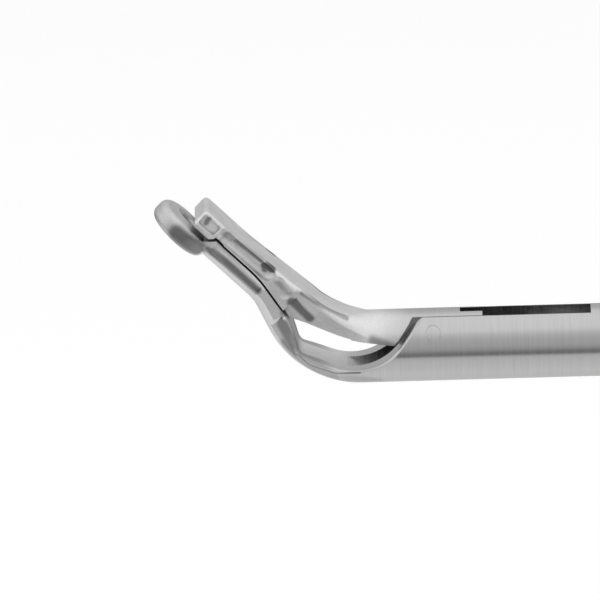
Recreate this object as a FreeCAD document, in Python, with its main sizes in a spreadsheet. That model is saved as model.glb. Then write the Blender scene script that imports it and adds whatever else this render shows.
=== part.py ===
import FreeCAD, Part
import math
import os

import Sketcher
from FreeCAD import Placement, Rotation, Vector

# A knot pusher: a slim shaft with a bent tip and a ring handle.
# The lower jaw is one piece with the tip and ends in an eyelet for the suture.
# The upper jaw turns on a pin inside the tip and closes on the eyelet.
# Frame: +X runs along the shaft from the tip to the handle, +Z is up, the tip bends up.
# The origin is on the shaft's axis, under the front edge of the full round shaft.

os.makedirs("parts", exist_ok=True)
doc = FreeCAD.newDocument("KnotPusher")
sheet = doc.addObject("Spreadsheet::Sheet", "Sizes")

# Driving dimensions in millimetres and degrees
SIZES = {
    # Shaft tip: a round bar with a sawn slot
    "shaft_diameter": 5.0,
    "slot_width": 2.0,
    "slot_rear": 11.75,
    "slot_floor": 1.9,
    "saw_radius": 9.0,
    "shoulder": 15.0,
    "plug_length": 6.0,
    "plug_clearance": 0.02,
    "mouth_top": 0.2,
    "mouth_angle": 50.6,
    "mouth_gap": 0.4,
    "mouth_edge_radius": 0.35,
    "seat_radius": 3.9,
    "seat_depth": 1.07,
    "seat_ramp_angle": 22.0,
    "seat_edge": 0.15,
    "seat_ramp_end": 8.2,
    "throat_radius": 0.8,
    # Bend and jaws
    "jaw_angle": 45.0,
    "jaw_face_offset": 3.78,
    "jaw_thickness": 1.6,
    "jaw_width": 3.6,
    "jaw_gap": 0.15,
    "throat_angle": 12.0,
    "throat_top": 11.75,
    "throat_bottom": 7.95,
    "throat_bend_radius": 8.0,
    "heel_angle": 65.0,
    "heel_corner": 6.84,
    "heel_radius": 4.45,
    "elbow_radius": 5.5,
    "flat_end": 8.9,
    "flat_runout": 1.4,
    "jaw_groove_radius": 0.5,
    "jaw_groove_depth": 0.34,
    "jaw_groove_rear_depth": 0.2,
    "jaw_groove_level": 0.45,
    "jaw_groove_drop": 0.18,
    "jaw_groove_front": 15.55,
    "jaw_groove_rear": 11.1,
    "heel_step": 8.7,
    "heel_scoop_depth": 0.36,
    "heel_scoop_slope": 8.0,
    "heel_scoop_end": 8.3,
    "heel_scoop_end_drop": 0.5,
    "heel_scoop_bend_place": 8.8,
    "heel_scoop_bend_height": 1.0,
    "heel_scoop_bend": 2.0,
    # Eyelet at the end of the lower jaw
    "eyelet_diameter": 4.5,
    "eyelet_thickness": 1.42,
    "eyelet_edge_radius": 0.5,
    "eyelet_station": 17.65,
    "eyelet_drop": 0.56,
    "neck_gap": 0.12,
    "neck_step": 0.1,
    "suture_hole": 1.4,
    "suture_hole_flare": 0.25,
    "suture_hole_offset": 0.5,
    # Upper jaw: flat-sided nose, bend with a thin waist, round rear
    "upper_thickness": 1.0,
    "upper_end": 17.68,
    "upper_taper_start": 13.5,
    "upper_edge_radius": 0.3,
    "upper_corner_radius": 0.3,
    "upper_bend_start": 3.6,
    "upper_bend_radius": 5.0,
    "waist_angle": 24.0,
    "waist_thickness": 1.42,
    "waist_rear_rise": 0.11,
    "waist_front_rise": 0.6,
    "upper_rear_flat": 0.2,
    "upper_rear_flank": 0.33,
    "upper_heel_station": 8.25,
    "upper_heel_radius": 0.15,
    "nose_pad_length": 1.5,
    "nose_pad_depth": 0.38,
    "nose_chamfer": 0.25,
    "toe_drop": 2.03,
    "toe_radius": 0.2,
    # Milled recesses in the flanks of both jaws
    "pocket_front": 0.18,
    "pocket_length": 1.4,
    "pocket_low": 0.02,
    "pocket_height": 0.76,
    "pocket_depth": 0.36,
    "pocket_corner": 0.12,
    "saddle_place": 15.5,
    "saddle_radius": 0.45,
    "saddle_depth": 0.32,
    "scallop_front": 14.95,
    "scallop_rear": 11.5,
    "scallop_level": 0.56,
    "scallop_radius": 0.5,
    "scallop_depth": 0.36,
    "scallop_rear_depth": 0.45,
    "hollow_front": 10.5,
    "hollow_rear": 9.7,
    "hollow_level": 0.7,
    "hollow_radius": 0.8,
    "hollow_depth": 0.12,
    "scoop_station": 8.93,
    "scoop_bend": 3.0,
    "scoop_head_drop": 0.72,
    "scoop_head_run": 1.7,
    "scoop_end": 5.1,
    "scoop_end_height": 1.55,
    "scoop_depth": 0.48,
    "scoop_slope": 9.0,
    # Web of the upper jaw in the shaft's slot
    "web_clearance": 0.05,
    "web_bottom": 0.8,
    "web_front": 2.6,
    "web_front_height": 1.57,
    "web_throat_place": 1.4,
    "web_throat": 0.35,
    "web_chin": 0.4,
    "web_corner": 0.35,
    "fork_corner": 0.2,
    "tail_end": 4.32,
    "tail_toe": 5.5,
    "tail_toe_height": 0.7,
    "tail_height": 1.75,
    "fork_gap": 0.9,
    "fork_start": 2.8,
    "fork_root": 2.2,
    "fork_step_top": 1.8,
    "fork_step_low": 1.2,
    "jaw_opening": 12.0,
    "pivot_forward": 0.9,
    "pivot_height": 1.4,
    "pivot_diameter": 1.0,
    "pivot_clearance": 0.04,
    # Drive pin and rod
    "drive_pin_place": 4.6,
    "drive_pin_diameter": 0.7,
    "cam_clearance": 0.04,
    "blade_thickness": 0.78,
    "blade_height": 1.5,
    "blade_nose": 0.75,
    "blade_length": 5.2,
    "rod_front": 7.4,
    "rod_diameter": 1.8,
    "rod_clearance": 0.05,
    # Tube and guides
    "tube_bore": 4.0,
    "tube_length": 191.0,
    "guide_length": 8.0,
    "guide_pitch": 60.0,
    "guide_first": 70.0,
    "guide_clearance": 0.02,
    # Collar and handle block
    "collar_diameter": 9.0,
    "collar_length": 8.0,
    "collar_edge": 0.8,
    "spigot_diameter": 7.0,
    "spigot_length": 6.0,
    "seat_clearance": 0.02,
    "chamber_diameter": 4.4,
    "chamber_length": 5.0,
    "seal_diameter": 5.2,
    "seal_length": 2.5,
    "gland_diameter": 6.0,
    "gland_length": 3.4,
    "gland_head_diameter": 7.6,
    "gland_head_length": 1.5,
    "block_width": 10.0,
    "block_top": 5.5,
    "block_bottom": 11.0,
    "block_length": 31.0,
    "block_edge": 0.9,
    "block_corner": 2.4,
    "block_slope": 4.0,
    "block_nose_bottom": 5.0,
    "block_chin": 4.0,
    "gland_head_play": 0.2,
    "lever_slot_width": 5.2,
    "lever_slot_front": 0.3,
    # Flushing port
    "port_place": 8.5,
    "port_height": 8.5,
    "port_bore": 4.2,
    "port_bore_depth": 7.0,
    "port_diameter": 5.6,
    "port_lug_diameter": 7.8,
    "port_lug_height": 0.9,
    "port_base_diameter": 7.0,
    "port_base_height": 1.4,
    "port_stub_diameter": 3.6,
    "port_passage": 1.8,
    # Locking screw of the shaft
    "lock_screw_place": 3.0,
    "lock_screw_diameter": 3.0,
    "lock_screw_socket": 1.5,
    # Handle
    "handle_opening": 16.0,
    "lever_arm": 5.6,
    "handle_pivot_place": 25.0,
    "hub_diameter": 8.0,
    "lever_width": 6.0,
    "lever_top": 4.2,
    "lever_corner": 1.2,
    "washer_thickness": 0.25,
    "washer_diameter": 7.6,
    "washer_gap": 0.02,
    "screw_diameter": 4.0,
    "screw_head_diameter": 7.0,
    "screw_head_height": 1.6,
    "screw_clearance": 0.05,
    "screw_edge": 0.45,
    "screw_slot_width": 0.9,
    "screw_slot_depth": 0.7,
    "nut_diameter": 7.0,
    "nut_height": 1.8,
    "nut_thread": 3.0,
    "ball_diameter": 3.2,
    "ball_clearance": 0.05,
    "ball_neck": 2.2,
    "lock_nut_width": 3.6,
    "lock_nut_length": 1.5,
    "lock_nut_place": 4.2,
    "rod_rear_overhang": 6.2,
    # Rings
    "ring_radius": 14.5,
    "ring_section": 5.2,
    "ring_edge": 1.1,
    "finger_ring_place": 4.0,
    "finger_ring_height": 58.0,
    "thumb_ring_place": 41.5,
    "thumb_ring_height": 60.0,
    "shank_root_place": 9.0,
    "shank_root_depth": 2.5,
    "shank_top_width": 11.0,
    "shank_waist_width": 6.4,
    "shank_foot_width": 8.0,
    "shank_bend": 12.0,
    "shank_bow": 0.9,
}

for row, (alias, value) in enumerate(SIZES.items(), start=1):
    sheet.set(f"A{row}", alias.replace("_", " "))
    sheet.set(f"B{row}", str(value))
    sheet.setAlias(f"B{row}", alias)
doc.recompute()


def size(alias):
    return float(sheet.get(alias))


# Values worked out from the driving dimensions
SHAFT_R = size("shaft_diameter") / 2
ROD_R = size("rod_diameter") / 2
JAW = math.radians(size("jaw_angle"))
ALONG = Vector(-math.cos(JAW), 0, math.sin(JAW))
ACROSS = Vector(math.sin(JAW), 0, math.cos(JAW))
WIDE = Vector(0, 1, 0)
HANDLE_OPEN = math.radians(size("handle_opening"))
JAW_OPEN = math.radians(size("jaw_opening"))
ROD_TRAVEL = size("lever_arm") * math.sin(HANDLE_OPEN)
TUBE_START = size("shoulder")
TUBE_END = TUBE_START + size("tube_length")
BLOCK_FRONT = TUBE_END - size("spigot_length")
CHAMBER_END = TUBE_END + size("chamber_length")
SEAL_END = CHAMBER_END + size("seal_length")
GLAND_END = SEAL_END + size("gland_length")
SLOT_FRONT = GLAND_END + size("gland_head_length") + size("lever_slot_front")
PIVOT = Vector(size("pivot_forward"), 0, size("pivot_height"))
LEVER_PIVOT = Vector(BLOCK_FRONT + size("handle_pivot_place"), 0, -size("lever_arm"))


def jaw_point(station, level):
    """A point of the side view, by its distance along and across the bent jaw."""
    return ALONG * station + ACROSS * level


# Outline helpers

def rounded_wire(corners):
    """A closed wire in the XZ plane through corners (point, radius), each rounded by an arc."""
    count = len(corners)
    starts = []
    ends = []
    middles = []
    for index, (corner, radius) in enumerate(corners):
        before = (corners[index - 1][0] - corner).normalize()
        after = (corners[(index + 1) % count][0] - corner).normalize()
        half = before.getAngle(after) / 2
        reach = radius / math.tan(half)
        bisector = (before + after).normalize()
        centre = corner + bisector * (radius / math.sin(half))
        starts.append(corner + before * reach)
        ends.append(corner + after * reach)
        middles.append(centre - bisector * radius)
    edges = []
    for index, (corner, radius) in enumerate(corners):
        if radius > 0:
            edges.append(Part.Arc(starts[index], middles[index], ends[index]).toShape())
        following = (index + 1) % count
        if (starts[following] - ends[index]).Length > 1e-6:
            edges.append(Part.LineSegment(ends[index], starts[following]).toShape())
    return Part.Wire(edges)


def side_plate(corners, width):
    """The solid of a side-view outline, centred on the XZ plane."""
    face = Part.Face(rounded_wire(corners))
    face.translate(WIDE * (-width / 2))
    return face.extrude(WIDE * width)


def meet(point_a, angle_a, point_b, angle_b):
    """Where two lines of the XZ plane cross; angles in radians above the -X direction."""
    ax, az = -math.cos(angle_a), math.sin(angle_a)
    bx, bz = -math.cos(angle_b), math.sin(angle_b)
    dx, dz = point_b.x - point_a.x, point_b.z - point_a.z
    reach = (dx * bz - dz * bx) / (ax * bz - az * bx)
    return Vector(point_a.x + ax * reach, 0, point_a.z + az * reach)


def cylinder(radius, length, base, axis):
    return Part.makeCylinder(radius, length, base, axis)


def feature(name, shape):
    """A sub-part whose shape is worked out by the functions of this file."""
    part = doc.addObject("Part::Feature", name)
    part.Label = name
    part.Shape = shape
    part.Placement = Placement()
    return part


def outline_sketch(body, name, role, corners):
    """A closed sketch of straight lines, each corner placed by two expressions."""
    sketch = body.newObject("Sketcher::SketchObject", name)
    plane = [item for item in body.Origin.OriginFeatures if item.Role == role][0]
    sketch.AttachmentSupport = [(plane, "")]
    sketch.MapMode = "FlatFace"
    count = len(corners)
    guesses = []
    for index in range(count):
        turn = 2 * math.pi * index / count
        guesses.append(Vector(math.cos(turn), math.sin(turn), 0))
    for index in range(count):
        sketch.addGeometry(Part.LineSegment(guesses[index], guesses[(index + 1) % count]))
    for index in range(count):
        sketch.addConstraint(Sketcher.Constraint("Coincident", index, 2, (index + 1) % count, 1))
    for index, (across, up) in enumerate(corners):
        for kind, guess, rule in (("DistanceX", guesses[index].x, across), ("DistanceY", guesses[index].y, up)):
            number = sketch.addConstraint(Sketcher.Constraint(kind, -1, 1, index, 1, guess))
            sketch.setExpression(f"Constraints[{number}]", rule)
    doc.recompute()
    return sketch


def turned_body(name, corners, role="XZ_Plane", axis="H_Axis"):
    """A piece turned on a lathe: its half section is revolved about the sketch's own axis."""
    body = doc.addObject("PartDesign::Body", name)
    body.Label = name
    sketch = outline_sketch(body, name + "_section", role, corners)
    turn = body.newObject("PartDesign::Revolution", name + "_turned")
    turn.Profile = sketch
    turn.ReferenceAxis = (sketch, [axis])
    turn.Angle = 360
    doc.recompute()
    return body


FLANK = size("jaw_width") / 2


def round_recess(start, start_depth, end, end_depth, radius, side_sign):
    """A ball-nosed cut in a flank from one point of the side view to another, with a depth at each end."""
    first = start + WIDE * (side_sign * (FLANK + radius - start_depth))
    last = end + WIDE * (side_sign * (FLANK + radius - end_depth))
    run = last - first
    cut = cylinder(radius, run.Length, first, run)
    return cut.fuse([Part.makeSphere(radius, first), Part.makeSphere(radius, last)])


def sloped_recess(corners, depth, slope, side_sign):
    """A cut behind a side outline whose floor starts at a depth below the flank and rises to the shaft."""
    outline = side_plate(corners, 8 * SHAFT_R)
    hinge = corners[0][0]
    reach = 4 * SHAFT_R
    block = Part.makeBox(2 * reach, reach, 2 * reach, Vector(-reach, 0, -reach))
    if side_sign < 0:
        block.translate(WIDE * -reach)
    block.rotate(Vector(0, 0, 0), Vector(0, 0, 1), slope * side_sign)
    block.translate(hinge + WIDE * (side_sign * (FLANK - depth)))
    return outline.common(block)


nodes = []


# Side view of the tip: mouth, seat, throat, lower jaw and heel
MOUTH = math.radians(180 - size("mouth_angle"))
MOUTH_TOP = Vector(size("mouth_top"), 0, SHAFT_R)
MOUTH_DOWN = Vector(-math.cos(math.radians(size("mouth_angle"))), 0, -math.sin(math.radians(size("mouth_angle"))))
MOUTH_OUT = Vector(MOUTH_DOWN.z, 0, -MOUTH_DOWN.x)
JAW_FACE = -size("jaw_face_offset")
HEEL = math.radians(size("heel_angle"))
JAW_BACK = JAW_FACE - size("jaw_thickness")


def seat_corner():
    """The corner that the seat's arc rounds: the mouth's line meets the ramp's line."""
    radius = size("seat_radius")
    centre_z = radius - size("seat_depth")
    on_line = MOUTH_TOP + MOUTH_OUT * radius
    centre = on_line + MOUTH_DOWN * ((on_line.z - centre_z) / -MOUTH_DOWN.z)
    ramp = math.radians(size("seat_ramp_angle"))
    touch = centre + Vector(-math.sin(ramp), 0, -math.cos(ramp)) * radius
    corner = meet(MOUTH_TOP, MOUTH, touch, ramp)
    ramp_end_z = touch.z + (size("seat_ramp_end") + touch.x) * math.tan(ramp)
    return corner, Vector(-size("seat_ramp_end"), 0, ramp_end_z)


def throat_level(station):
    """How far across the jaw the lower jaw's upper face lies, at a distance along it."""
    angle = math.radians(size("throat_angle"))
    bend = size("throat_bend_radius")
    reach = bend * math.tan(angle / 2)
    behind = size("throat_top") - station
    if behind <= -reach:
        return JAW_FACE
    if behind >= reach * math.cos(angle):
        return JAW_FACE - behind * math.tan(angle)
    return JAW_FACE - bend + math.sqrt(bend ** 2 - (behind + reach) ** 2)


def pad_foot():
    """How far along the jaw the rear slope of the nose's pad begins."""
    return size("upper_end") - size("nose_pad_length") - size("nose_pad_depth")


def shaft_tip():
    seat, ramp_end = seat_corner()
    throat_foot = jaw_point(size("throat_bottom"), throat_level(size("throat_bottom")))
    throat_head = jaw_point(size("throat_top"), JAW_FACE)
    neck = pad_foot() - size("neck_gap")
    neck_root = size("eyelet_station") - size("eyelet_diameter") / 4
    neck_level = JAW_FACE - size("eyelet_drop") - size("neck_step")
    heel_axis = Vector(-size("heel_corner"), 0, 0)
    heel_low = heel_axis + Vector(-math.sin(HEEL), 0, -math.cos(HEEL)) * SHAFT_R
    jaw_axis_level = JAW_BACK + SHAFT_R
    heel_foot = meet(Vector(0, 0, -SHAFT_R), 0, heel_low, HEEL)
    elbow = meet(heel_low, HEEL, jaw_point(0, JAW_BACK), JAW)
    shoulder = size("shoulder")
    side = side_plate([
        (Vector(shoulder, 0, SHAFT_R), 0),
        (MOUTH_TOP, size("mouth_edge_radius")),
        (seat, size("seat_radius")),
        (ramp_end, size("throat_radius")),
        (throat_foot, size("throat_radius")),
        (throat_head, size("throat_bend_radius")),
        (jaw_point(neck, JAW_FACE), 0),
        (jaw_point(neck + JAW_FACE - neck_level, neck_level), 0),
        (jaw_point(neck_root, neck_level), 0),
        (jaw_point(neck_root, JAW_BACK), 0),
        (elbow, size("elbow_radius") - SHAFT_R),
        (heel_foot, size("heel_radius") + SHAFT_R),
        (Vector(shoulder, 0, -SHAFT_R), 0),
    ], 2 * SHAFT_R)

    # The round bar, bent up along the heel and the jaw
    bar_corners = [heel_axis, meet(heel_axis, HEEL, jaw_point(0, jaw_axis_level), JAW)]
    bar_path = bent_path(Vector(shoulder, 0, 0), bar_corners,
                         [size("heel_radius"), size("elbow_radius")],
                         jaw_point(neck_root + 1, jaw_axis_level))
    profile = Part.Wire(Part.Circle(Vector(shoulder, 0, 0), Vector(1, 0, 0), SHAFT_R).toShape())
    bar = bar_path.makePipeShell([profile], True, True)

    # The two flats of the jaw, with the cutter's run-out at the throat
    tip = side.common(bar).common(jaw_flats())

    # The central slot, sawn from above; the saw leaves its own radius at the front
    tip = tip.cut(saw_slot())
    plug_radius = size("tube_bore") / 2 - size("plug_clearance")
    plug = cylinder(plug_radius, size("plug_length"), Vector(shoulder, 0, 0), Vector(1, 0, 0))
    tip = tip.fuse(plug)
    rod_hole = cylinder(ROD_R + size("rod_clearance"), shoulder + size("plug_length"),
                        Vector(size("slot_rear") - 1, 0, 0), Vector(1, 0, 0))
    pin_hole = cylinder(size("pivot_diameter") / 2, 4 * SHAFT_R, PIVOT - WIDE * 2 * SHAFT_R, WIDE)
    tip = tip.cut(rod_hole).cut(pin_hole)

    # Eyelet: a thick round disc with soft edges and a flared hole
    tip = tip.fuse(eyelet_disc())
    tip = tip.cut(eyelet_hole())
    for side_sign in (-1, 1):
        tip = tip.cut(lower_groove(side_sign)).cut(heel_scoop(side_sign))
    tip = tip.removeSplitter()
    return tip.makeChamfer(size("seat_edge"), seat_rims(tip)).Solids[0]


def seat_rims(tip):
    """The two outer edges of the seat, where it runs out of the round bar."""
    seat, ramp_end = seat_corner()
    rims = []
    for edge in tip.Edges:
        middle = edge.CenterOfMass
        in_seat = ramp_end.x < middle.x < seat.x
        if in_seat and abs(middle.y) > FLANK and abs(middle.z) < SHAFT_R / 2:
            rims.append(edge)
    return rims


def bent_path(start, corners, radii, end):
    """A path of straight runs and tangent arcs in the side view."""
    points = [start] + corners + [end]
    edges = []
    last = start
    for index, radius in enumerate(radii, start=1):
        corner = points[index]
        before = (points[index - 1] - corner).normalize()
        after = (points[index + 1] - corner).normalize()
        half = before.getAngle(after) / 2
        reach = radius / math.tan(half)
        bisector = (before + after).normalize()
        middle = corner + bisector * (radius / math.sin(half) - radius)
        edges.append(Part.LineSegment(last, corner + before * reach).toShape())
        edges.append(Part.Arc(corner + before * reach, middle, corner + after * reach).toShape())
        last = corner + after * reach
    edges.append(Part.LineSegment(last, end).toShape())
    return Part.Wire(edges)


def jaw_flats():
    """Top view of the tip: full width at the shaft, narrower at the jaw."""
    half = size("jaw_width") / 2
    flat_x = jaw_point(size("flat_end"), JAW_FACE).x
    flare = flat_x + size("flat_runout")
    wide = 2 * SHAFT_R
    front = -3 * size("eyelet_station")
    rear = size("shoulder") + 1

    def corner(x, y, radius=0):
        return (Vector(x, 0, y), radius)

    face = Part.Face(rounded_wire([
        corner(rear, -wide), corner(flare, -wide), corner(flare, -SHAFT_R), corner(flat_x, -half, 1.0),
        corner(front, -half), corner(front, half),
        corner(flat_x, half, 1.0), corner(flare, SHAFT_R), corner(flare, wide), corner(rear, wide)]))
    face.rotate(Vector(0, 0, 0), Vector(1, 0, 0), 90)
    face.translate(Vector(0, 0, -3 * SHAFT_R))
    return face.extrude(Vector(0, 0, 3 * size("eyelet_station")))


def saw_slot():
    """The slot's space: flat floor, round front where the saw ran out, upright rear wall."""
    radius = size("saw_radius")
    floor = -size("slot_floor")
    centre_x = -size("seat_depth")
    wheel = cylinder(radius, size("slot_width"),
                     Vector(centre_x, -size("slot_width") / 2, floor + radius), WIDE)
    keep = Part.makeBox(radius - centre_x, size("slot_width"), 2 * radius,
                        Vector(-radius, -size("slot_width") / 2, floor))
    front = wheel.common(keep)
    long_slot = Part.makeBox(size("slot_rear") - centre_x, size("slot_width"), 3 * SHAFT_R,
                             Vector(centre_x, -size("slot_width") / 2, floor))
    return front.fuse(long_slot)


def eyelet_frame():
    """Centre of the eyelet's upper face and its downward direction."""
    top = JAW_FACE - size("eyelet_drop")
    return jaw_point(size("eyelet_station"), top), ACROSS * -1


def eyelet_disc():
    centre, down = eyelet_frame()
    disc = cylinder(size("eyelet_diameter") / 2, size("eyelet_thickness"), centre, down)
    rims = [edge for edge in disc.Edges if isinstance(edge.Curve, Part.Circle)]
    return disc.makeFillet(size("eyelet_edge_radius"), rims)


def eyelet_hole():
    centre, down = eyelet_frame()
    centre = centre + WIDE * size("suture_hole_offset")
    radius = size("suture_hole") / 2
    flare = size("suture_hole_flare")
    deep = size("eyelet_thickness")
    hole = cylinder(radius, deep + 2 * flare, centre - down * flare, down)
    upper = Part.makeCone(radius + flare, radius, flare, centre, down)
    lower = Part.makeCone(radius + flare, radius, flare, centre + down * deep, down * -1)
    return hole.fuse([upper, lower])


def lower_groove(side_sign):
    """A long scallop in each flat of the lower jaw."""
    radius = size("jaw_groove_radius")
    level = JAW_FACE - size("jaw_groove_level")
    front = jaw_point(size("jaw_groove_front"), level)
    rear = jaw_point(size("jaw_groove_rear"), level - size("jaw_groove_drop"))
    front_side = FLANK + radius - size("jaw_groove_depth")
    rear_side = FLANK + radius - size("jaw_groove_rear_depth")
    start = rear + WIDE * (side_sign * rear_side)
    run = front + WIDE * (side_sign * front_side) - start
    return cylinder(radius, run.Length, start, run)


def heel_scoop(side_sign):
    """A shallow run-out in each flank under the throat, deepest at its step."""
    step_foot = jaw_point(size("heel_step"), JAW_BACK - size("heel_scoop_depth"))
    step_head = jaw_point(size("heel_step"), (JAW_FACE + JAW_BACK) / 2)
    end = Vector(-size("heel_scoop_end"), 0, -size("heel_scoop_end_drop"))
    outside = Vector((step_foot.x + end.x) / 2, 0, end.z)
    bend = Vector(-size("heel_scoop_bend_place"), 0, size("heel_scoop_bend_height"))
    return sloped_recess([
        (step_head, 0), (step_foot, 0), (outside, 0), (end, 0), (bend, size("heel_scoop_bend")),
    ], size("heel_scoop_depth"), size("heel_scoop_slope"), side_sign)


nodes.append(feature("shaft_tip", shaft_tip()))


MERGE_WITHIN = 0.002
BEND_CENTRE = Vector(-size("upper_bend_start"), 0, SHAFT_R + size("upper_bend_radius"))
NOSE_TOP = JAW_FACE + size("jaw_gap") + size("upper_thickness")


def bend_ray(turn):
    """Direction from the bend's centre to the jaw, turned from straight down towards the nose."""
    return Vector(-math.sin(turn), 0, -math.cos(turn))


def waist(turn):
    """Thickness of the upper jaw round the bend: thinnest at the waist, more to both sides by a square law."""
    share = turn / math.radians(size("waist_angle")) - 1
    if share <= 0:
        return size("waist_thickness") + size("waist_rear_rise") * share ** 2
    reach = (JAW - math.radians(size("waist_angle"))) / math.radians(size("waist_angle"))
    return size("waist_thickness") + size("waist_front_rise") * (share / reach) ** 2


def bend_section(turn):
    """Section of the upper jaw across the bend, between the nose's soft-edged bar and the shaft's own round."""
    share = (1 - turn / JAW) ** 2
    ray = bend_ray(turn)
    deep = waist(turn)
    low = BEND_CENTRE + ray * (size("upper_bend_radius") + deep)
    edge = size("upper_edge_radius")
    rear_low = SHAFT_R - waist(0)
    rear_flank = rear_low + size("upper_rear_flank")
    rear_flat = size("upper_rear_flat")

    def mixed(front_value, rear_value):
        return front_value + (rear_value - front_value) * share

    def point(side_place, rise):
        return low - ray * rise + WIDE * side_place

    def round_half(level):
        return math.sqrt(SHAFT_R ** 2 - level ** 2)

    foot = mixed(FLANK, round_half(rear_low))
    flank = mixed(FLANK, round_half(rear_flank))
    flank_rise = mixed(deep - edge, size("upper_rear_flank"))
    flat = mixed(FLANK - edge, rear_flat)
    crest = deep - (SHAFT_R - round_half(rear_flat)) * share
    diagonal = math.sqrt(0.5)
    arc_half = mixed(FLANK - edge + edge * diagonal, SHAFT_R * 0.55)
    arc_rise = mixed(deep - edge + edge * diagonal, round_half(SHAFT_R * 0.55) - rear_low)
    right = [point(foot, 0), point(flank, flank_rise), point(arc_half, arc_rise), point(flat, crest)]
    left = [point(-foot, 0), point(-flank, flank_rise), point(-arc_half, arc_rise), point(-flat, crest)]
    return Part.Wire([
        Part.LineSegment(left[0], right[0]).toShape(),
        Part.LineSegment(right[0], right[1]).toShape(),
        Part.Arc(right[1], right[2], right[3]).toShape(),
        Part.LineSegment(right[3], left[3]).toShape(),
        Part.Arc(left[3], left[2], left[1]).toShape(),
        Part.LineSegment(left[1], left[0]).toShape(),
    ])


def upper_nose():
    """The flat-sided front of the upper jaw, with its pad, soft top edges and round front corners."""
    end = size("upper_end")
    face = JAW_FACE + size("jaw_gap")
    pad = face - size("nose_pad_depth")
    pad_rear = end - size("nose_pad_length")
    ray = bend_ray(JAW)
    joint_top = BEND_CENTRE + ray * size("upper_bend_radius")
    joint_low = BEND_CENTRE + ray * (size("upper_bend_radius") + waist(JAW))
    heel = size("upper_heel_station")
    nose = side_plate([
        (jaw_point(end, NOSE_TOP), size("upper_corner_radius")),
        (jaw_point(size("upper_taper_start"), NOSE_TOP), 0),
        (joint_top, 0),
        (joint_low, 0),
        (jaw_point(heel, throat_level(heel) + size("jaw_gap")), size("upper_heel_radius")),
        (jaw_point(size("throat_top"), face), size("throat_bend_radius")),
        (jaw_point(pad_foot(), face), 0),
        (jaw_point(pad_rear, pad), 0),
        (jaw_point(end - size("nose_chamfer"), pad), 0),
        (jaw_point(end, pad + size("nose_chamfer")), 0),
    ], 2 * FLANK)
    edges = []
    for edge in nose.Edges:
        middle = edge.CenterOfMass
        level = middle.dot(ACROSS)
        station = middle.dot(ALONG)
        on_flank = abs(abs(middle.y) - FLANK) < 0.001
        if on_flank and level > NOSE_TOP - size("upper_corner_radius") and station > joint_top.dot(ALONG) + 0.01:
            edges.append(edge)
    return nose.makeFillet(size("upper_edge_radius"), edges)


def upper_jaw():
    nose = upper_nose()
    turns = [JAW * share for share in (1.0, 0.75, 0.5, 0.25, 0.0)]
    bend = Part.makeLoft([bend_section(turn) for turn in turns], True, False)

    # The rear follows the shaft's round and ends parallel to the mouth
    rear_start = -size("upper_bend_start")
    rear_low = SHAFT_R - waist(0)
    mouth = MOUTH_TOP + MOUTH_OUT * size("mouth_gap")
    toe = mouth + MOUTH_DOWN * (size("toe_drop") / -MOUTH_DOWN.z)
    crown = mouth - MOUTH_DOWN * SHAFT_R
    rear_bar = cylinder(SHAFT_R, crown.x - rear_start, Vector(rear_start, 0, 0), Vector(1, 0, 0))
    rear_side = side_plate([
        (Vector(rear_start, 0, rear_low), 0),
        (Vector(rear_start, 0, 2 * SHAFT_R), 0),
        (crown, 0),
        (toe, size("toe_radius")),
    ], 4 * SHAFT_R)
    rear = rear_bar.common(rear_side)

    # The web runs in the shaft's slot, turns on the pivot and ends in a fork
    soft = size("web_corner")
    web_half = size("slot_width") / 2 - size("web_clearance")
    top = 2 * SHAFT_R
    web_front = -size("web_front")
    bottom = -size("web_bottom")
    tail_toe = size("tail_toe")
    tail_end = size("tail_end")
    web_side = side_plate([
        (Vector(web_front, 0, size("web_front_height")), 0),
        (Vector(-size("web_throat_place"), 0, size("web_throat")), soft),
        (Vector(size("web_chin"), 0, bottom), 2 * soft),
        (Vector(tail_toe, 0, bottom), soft),
        (Vector(tail_toe, 0, size("tail_toe_height")), soft),
        (Vector(tail_end, 0, size("tail_height")), 0),
        (Vector(tail_end, 0, top), 0),
        (Vector(web_front, 0, top), 0),
    ], 2 * web_half)
    web_round = cylinder(SHAFT_R, tail_toe + size("web_front"), Vector(web_front, 0, 0), Vector(1, 0, 0))
    jaw = nose.fuse([bend, rear, web_side.common(web_round)], MERGE_WITHIN)

    # Fork at the tail, open above for the drive pin's blade
    gap_start = size("fork_start")
    gap_root = size("fork_root")
    fork = side_plate([
        (Vector(gap_start, 0, top), 0),
        (Vector(gap_start, 0, size("fork_step_top")), size("fork_corner")),
        (Vector(gap_root, 0, size("fork_step_low")), size("fork_corner")),
        (Vector(gap_root, 0, -top), 0),
        (Vector(3 * tail_toe, 0, -top), 0),
        (Vector(3 * tail_toe, 0, top), 0),
    ], size("fork_gap"))
    pin_radius = size("pivot_diameter") / 2 + size("pivot_clearance")
    pin_hole = cylinder(pin_radius, 2 * SHAFT_R, PIVOT - WIDE * SHAFT_R, WIDE)
    jaw = jaw.cut(fork).cut(pin_hole).cut(cam_slot())
    for side_sign in (-1, 1):
        for recess in jaw_recesses(side_sign):
            jaw = jaw.cut(recess)
    return jaw.removeSplitter()


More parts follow.
